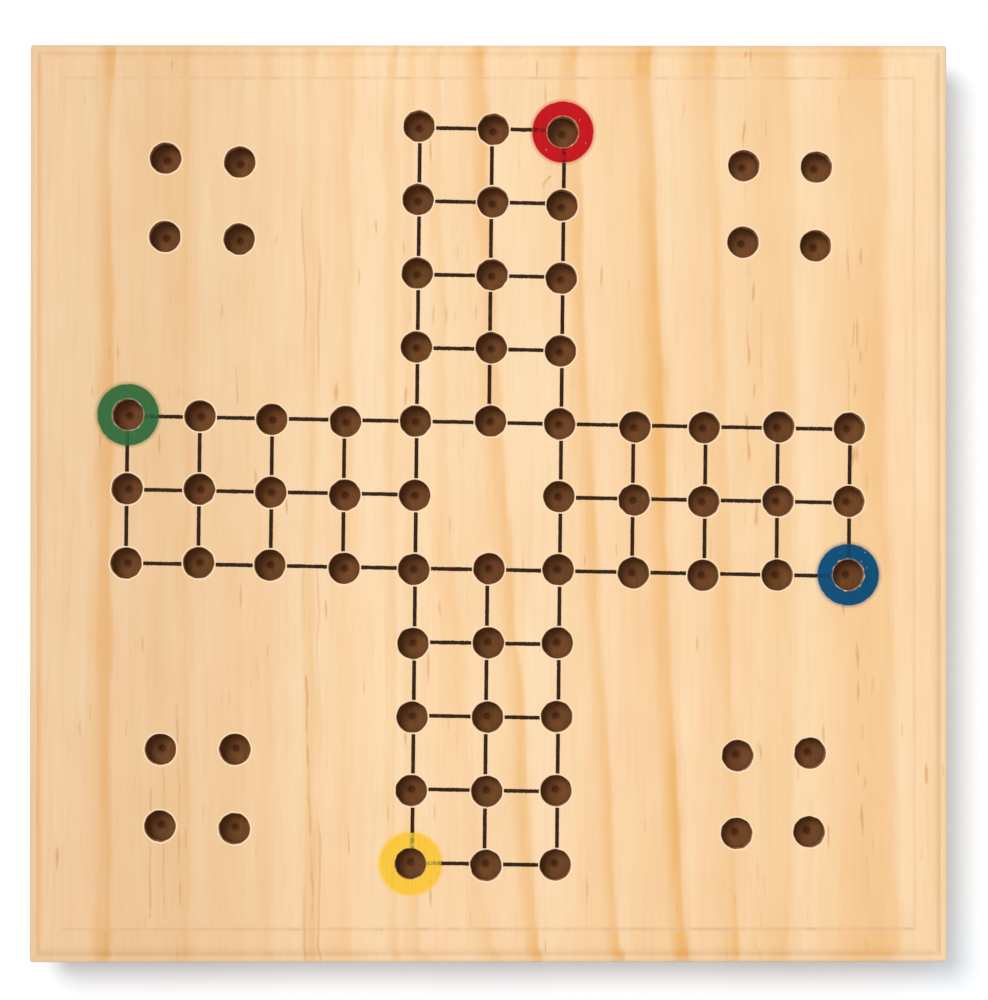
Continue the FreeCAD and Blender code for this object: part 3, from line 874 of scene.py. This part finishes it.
def playing_board(materials):
    """The moulded board with all its holes, as one closed mesh."""
    low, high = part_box("playing_board")
    half, top = high.x, high.z
    board = Gathered()
    loops = []
    for inset, height in edge_profile(low.z, top):
        radius = max(CORNER_RADIUS - inset, LEAST_RADIUS)
        loops.append(board.loop(square_loop(half - inset, radius, height)))
    for inner, outer in zip(loops, loops[1:]):
        board.band(inner, outer, BOARD_WOOD)
    board.face(loops[-1], BOARD_WOOD)
    holes = hole_places()
    draw = np.random.default_rng(HOLE_SEED)
    outlines = [loops[0]] + [drilled_hole(board, hole, top, draw) for hole in holes]
    inner_half = half - edge_profile(low.z, top)[0][0]
    grid = board.loop((x, y, top) for x, y in field_points(holes, inner_half))
    numbers = [n for outline in outlines for n in outline] + grid
    seats = {n: i for i, n in enumerate(numbers)}
    flat = [Vector(board.points[n][:2]) for n in numbers]
    faces = [[seats[n] for n in outline] for outline in outlines]
    inside_only = 1
    _, _, triangles, origins, _, owners = delaunay_2d_cdt(flat, [], faces, inside_only, FIELD_WELD_GAP)
    for triangle, owner in zip(triangles, owners):
        if owner == [0]:
            board.face((numbers[origins[i][0]] for i in triangle), BOARD_WOOD)
    return board.piece("pine_board", materials)


# Ink and paint on the board

def strip_ends():
    """Both ends of each inked strip's long axis, from the solids, with the left or the far one first."""
    made = whole_faced("track_lines")
    waiting, strips = dict.fromkeys(made.verts), []
    while waiting:
        front = [waiting.popitem()[0]]
        island = []
        while front:
            point = front.pop()
            island.append(point)
            for edge in point.link_edges:
                other = edge.other_vert(point)
                if other in waiting:
                    del waiting[other]
                    front.append(other)
        flat = np.array([p.co[:2] for p in island])
        middle = flat.mean(0)
        axis = np.linalg.svd(flat - middle)[2][0]
        if axis[0] < axis[1]:
            axis = -axis
        reach = np.abs((flat - middle) @ axis).max()
        strips.append((middle - axis * reach, middle + axis * reach))
    made.free()
    return sorted(strips, key=lambda ends: (round(ends[0][0], 6), round(ends[0][1], 6)))


def inked_lines(material, strips):
    """Thin strips of ink with uneven edges, which bleed along the grain."""
    draw = np.random.default_rng(INK_SEED)
    lines = Gathered()
    for start, end in strips:
        run = end - start
        length = np.hypot(*run)
        along = run / length
        side = np.array((-along[1], along[0]))
        count = int(length / INK_STEP)
        across_grain = abs(along[0]) > abs(along[1])
        rough = INK_RAGGED_ACROSS_GRAIN if across_grain else INK_RAGGED_ALONG_GRAIN
        steps = np.linspace(0, 1, count + 1)
        edges = []
        for sign in (1, -1):
            uneven = rough * draw.normal(size=count + 1)
            swells = np.interp(steps, np.linspace(0, 1, INK_SWELLS), draw.normal(size=INK_SWELLS))
            uneven += INK_SWELL_SHARE * rough * swells
            limit = INK_RAGGED_LIMIT * rough
            offset = sign * (LINE_HALF_WIDTH + np.clip(uneven, -limit, limit))
            edges.append(start + np.outer(steps, run) + np.outer(offset, side))
        outline = np.concatenate([edges[0], edges[1][::-1]])
        upper = lines.loop((x, y, BOARD_TOP + INK_HEIGHT) for x, y in outline)
        lower = lines.loop((x, y, BOARD_TOP) for x, y in outline)
        lines.band(lower, upper)
        for i in range(count):
            pair = (i, i + 1, 2 * count - i, 2 * count + 1 - i)
            lines.face(upper[n] for n in pair)
            lines.face(lower[n] for n in pair)
    return lines.piece("inked_lines", [material])


def painted_ring(colour_name, material, strips):
    """A ring of paint with uneven edges, which knows where the inked lines run on under it."""
    low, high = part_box(f"start_ring_{colour_name}")
    centre = np.array(((low.x + high.x) / 2, (low.y + high.y) / 2))
    outer_radius = (high.x - low.x) / 2
    inner_radius = HOLE_RADIUS + HOLE_CHAMFER - PAINT_OVERLAP
    draw = np.random.default_rng(COLOURS.index(colour_name) + PAINT_SEED)
    angles = np.arange(PAINT_POINTS) * 2 * math.pi / PAINT_POINTS
    outer = outer_radius + np.minimum(ragged(draw, angles, PAINT_RAGGED, lowest=3, highest=30), 0.0)
    inner = inner_radius + ragged(draw, angles, PAINT_RAGGED, lowest=3, highest=20)
    ring = Gathered()
    loops = [ring.circle(centre, inner, angles, low.z)]
    for step in range(PAINT_LOOPS + 1):
        radius = inner + (outer - inner) * step / PAINT_LOOPS
        loops.append(ring.circle(centre, radius, angles, low.z + PAINT_HEIGHT))
    loops.append(ring.circle(centre, outer, angles, low.z))
    for first, second in zip(loops, loops[1:] + loops[:1]):
        ring.band(first, second)
    piece = ring.piece(f"painted_ring_{colour_name}", [material])
    headings = []
    for ends in strips:
        for near, far in (ends, ends[::-1]):
            if np.hypot(*(near - centre)) < outer_radius + INK_MEETS_PAINT:
                headings.append((near, (near - far) / np.hypot(*(near - far))))
    worn = piece.data.attributes.new("worn", "FLOAT", "POINT")
    for number in loops[0] + loops[1]:
        worn.data[number].value = PAINT_WEAR[colour_name]
    under = piece.data.attributes.new("ink_under", "FLOAT", "POINT")
    for number, point in enumerate(piece.data.vertices):
        for near, heading in headings:
            away = np.array(point.co[:2]) - near
            forward, aside = away @ heading, abs(away[0] * heading[1] - away[1] * heading[0])
            if INK_RUNS_ON[0] < forward < INK_RUNS_ON[1]:
                cover = 1.0 - max(aside / LINE_HALF_WIDTH - INK_FULL, 0) / INK_FADE
                under.data[number].value = max(under.data[number].value, cover)
    return piece


# Pegs, die and base

def peg_profile():
    """A peg's outline from the end of its shank to the top of its head, as (radius, distance along)."""
    soft = PEG_EDGE
    shank, collar, neck = PEG_SHANK_RADIUS, PEG_COLLAR_RADIUS, PEG_NECK_RADIUS
    collar_top = PEG_SHANK_LENGTH + PEG_COLLAR_LENGTH
    head = PEG_LENGTH - collar
    neck_height = head - math.sqrt(collar ** 2 - neck ** 2)
    bend = Vector((collar - soft, collar_top)), Vector((neck, neck_height))
    middle = (bend[0] + bend[1]) / 2 - Vector((PEG_WAIST, 0)) * 2
    waist = []
    for i in range(PEG_ARC_STEPS + 1):
        t = i / PEG_ARC_STEPS
        waist.append(bend[0] * (1 - t) ** 2 + middle * 2 * t * (1 - t) + bend[1] * t ** 2)
    lowest = -math.acos(neck / collar)
    turns = [lowest + (math.pi / 2 - lowest) * i / PEG_ARC_STEPS for i in range(1, PEG_ARC_STEPS)]
    ball = [(collar * math.cos(a), head + collar * math.sin(a)) for a in turns]
    edges = [
        *quarter_arc((shank - soft, soft), soft, -math.pi / 2),
        (shank, PEG_SHANK_LENGTH),
        *quarter_arc((collar - soft, PEG_SHANK_LENGTH + soft), soft, -math.pi / 2),
        *quarter_arc((collar - soft, collar_top - soft), soft, 0.0),
    ]
    return edges + [tuple(p) for p in waist[1:]] + ball


def peg(node, head_sign, material):
    """A turned peg lying along X."""
    low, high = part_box(node)
    centre = (low + high) / 2
    start = centre.x - head_sign * PEG_LENGTH / 2
    made = Gathered()
    angles = [2 * math.pi * i / PEG_POINTS for i in range(PEG_POINTS)]
    loops = []
    for radius, distance in peg_profile():
        x = start + head_sign * distance
        loops.append(made.loop(
            (x, centre.y + radius * math.cos(a), centre.z + radius * math.sin(a)) for a in angles))
    for first, second in zip(loops, loops[1:]):
        made.band(first, second)
    ends = made.loop([(start, centre.y, centre.z), (start + head_sign * PEG_LENGTH, centre.y, centre.z)])
    made.fan(loops[0], ends[0])
    made.fan(loops[-1], ends[1])
    return made.piece(f"turned_{node}", [material])


def die(white, black):
    """The die, with its dimples painted."""
    low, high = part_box("die")
    centre, half = (low + high) / 2, (high.x - low.x) / 2
    made = welded("die")
    mesh = bpy.data.meshes.new("die")
    made.to_mesh(mesh)
    made.free()
    piece = finished("game_die", mesh, [white, black])
    for polygon in mesh.polygons:
        away = sorted(abs(c) for c in polygon.center - centre)
        if away[1] < half - DIE_EDGE and away[2] < half - DIMPLE_LEAST:
            polygon.material_index = 1
    return piece


def dress():
    """Builds every piece of the object and fixes it to its body."""
    strips = strip_ends()
    board = playing_board([board_pine(), fresh_rim(), stain()])
    place_piece(board, "box", "board_pine", "playing_board")
    place_piece(inked_lines(ink(), strips), "box", "line_ink", "track_lines")
    for name in COLOURS:
        ring = painted_ring(name, ring_paint(name), strips)
        place_piece(ring, "box", f"ring_{name}", f"start_ring_{name}")
        coat = lacquer(name)
        for number in range(1, PEGS_PER_COLOUR + 1):
            node = f"peg_{name}_{number}"
            place_piece(peg(node, 1 if number % 2 else -1, coat), "tray", f"peg_{name}", node)
    for node, (body, turn, shift) in SAWN_PIECES.items():
        wood = pine(f"pine_{node}", turn * 2 * math.pi, shift).material
        place_piece(softened(node, wood), body, "base_pine", node)
    panel_ply = plywood("panel_ply", "bottom_panel")
    place_piece(softened("bottom_panel", panel_ply), "box", "plywood", "bottom_panel")
    floor_ply = plywood("tray_ply", "tray_floor", math.pi / 2)
    place_piece(softened("tray_floor", floor_ply, PLY_SOFTENING), "tray", "plywood", "tray_floor")
    white, black = plastic("die_white", DIE_WHITE, 0.3), plastic("pip_black", PIP_BLACK, 0.4)
    place_piece(die(white, black), "tray", "die_white", "die")
    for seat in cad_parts["bottom_screws"].material_slots:
        seat.material = steel()


# Stage, light and camera

def seen_ray(nodes, links):
    """1 for the rays that show a surface to the camera, straight or in a reflection."""
    path = nodes.new("ShaderNodeLightPath")
    total = path.outputs["Is Camera Ray"]
    for name in ("Is Glossy Ray", "Is Transmission Ray"):
        node = nodes.new("ShaderNodeMath")
        node.operation = "MAXIMUM"
        links.new(total, node.inputs[0])
        links.new(path.outputs[name], node.inputs[1])
        total = node.outputs[0]
    return total


def floor():
    """A plain white floor that keeps the object's shadow."""
    shader = Shader("studio_floor")
    shader.set(Base_Color=(FLOOR_WHITE,) * 3 + (1.0,), Roughness=0.9, Specular_IOR_Level=0.0)
    shader.set(Emission_Color=(*FLOOR_GLOW, 1.0))
    shader.set(Emission_Strength=seen_ray(shader.nodes, shader.links))
    half = FLOOR_SIDE / 2
    mesh = bpy.data.meshes.new("studio_floor")
    corners = [(-half, -half), (half, -half), (half, half), (-half, half)]
    mesh.from_pydata([(x, y, -FLOOR_GAP) for x, y in corners], [], [(0, 1, 2, 3)])
    mesh.materials.append(shader.material)
    piece = bpy.data.objects.new("studio_floor", mesh)
    bpy.context.scene.collection.objects.link(piece)


def light():
    """A pale sky all round and two soft lamps, one nearly straight above and one in the upper left."""
    scene = bpy.context.scene
    scene.view_settings.view_transform = "Standard"
    scene.world = bpy.data.worlds.new("studio_sky")
    scene.world.use_nodes = True
    nodes, links = scene.world.node_tree.nodes, scene.world.node_tree.links
    lighting = nodes["Background"]
    lighting.inputs["Color"].default_value = (*SKY_TINT, 1.0)
    lighting.inputs["Strength"].default_value = SKY_LIGHT
    seen = nodes.new("ShaderNodeBackground")
    seen.inputs["Color"].default_value = (1.0, 1.0, 1.0, 1.0)
    choice = nodes.new("ShaderNodeMixShader")
    links.new(seen_ray(nodes, links), choice.inputs[0])
    links.new(lighting.outputs[0], choice.inputs[1])
    links.new(seen.outputs[0], choice.inputs[2])
    links.new(choice.outputs[0], nodes["World Output"].inputs["Surface"])
    for name, (share, lean_degrees, spread_degrees) in LAMPS.items():
        lean = math.radians(lean_degrees)
        lamp = bpy.data.lights.new(name, "SUN")
        lamp.color = LAMP_TINT
        lamp.energy = math.pi * share / math.cos(lean)
        lamp.angle = math.radians(spread_degrees)
        holder = bpy.data.objects.new(name, lamp)
        heading = math.radians(LAMP_HEADING)
        level = math.sin(lean)
        beam = Vector((level * math.cos(heading), level * math.sin(heading), -math.cos(lean)))
        holder.rotation_euler = beam.to_track_quat("-Z", "Y").to_euler()
        scene.collection.objects.link(holder)


def camera():
    """Looks straight down on the board, a little from the lower left."""
    scene = bpy.context.scene
    lens = bpy.data.cameras.new("photo_camera")
    lens.sensor_fit = "VERTICAL"
    lens.sensor_height = CAMERA_SENSOR
    lens.lens = CAMERA_LENS
    lens.clip_end = CAMERA_REACH
    place = Vector((CAMERA_PLACE[0] * MM, CAMERA_PLACE[1] * MM, BOARD_TOP + CAMERA_PLACE[2] * MM))
    target = Vector((CAMERA_TARGET[0] * MM, CAMERA_TARGET[1] * MM, BOARD_TOP))
    forward = (target - place).normalized()
    right = forward.cross(Vector((0, 1, 0))).normalized()
    turn = Matrix((right, right.cross(forward), -forward)).transposed()
    holder = bpy.data.objects.new("photo_camera", lens)
    holder.matrix_world = Matrix.Translation(place) @ turn.to_4x4()
    scene.collection.objects.link(holder)
    scene.camera = holder


dress()
floor()
light()
camera()
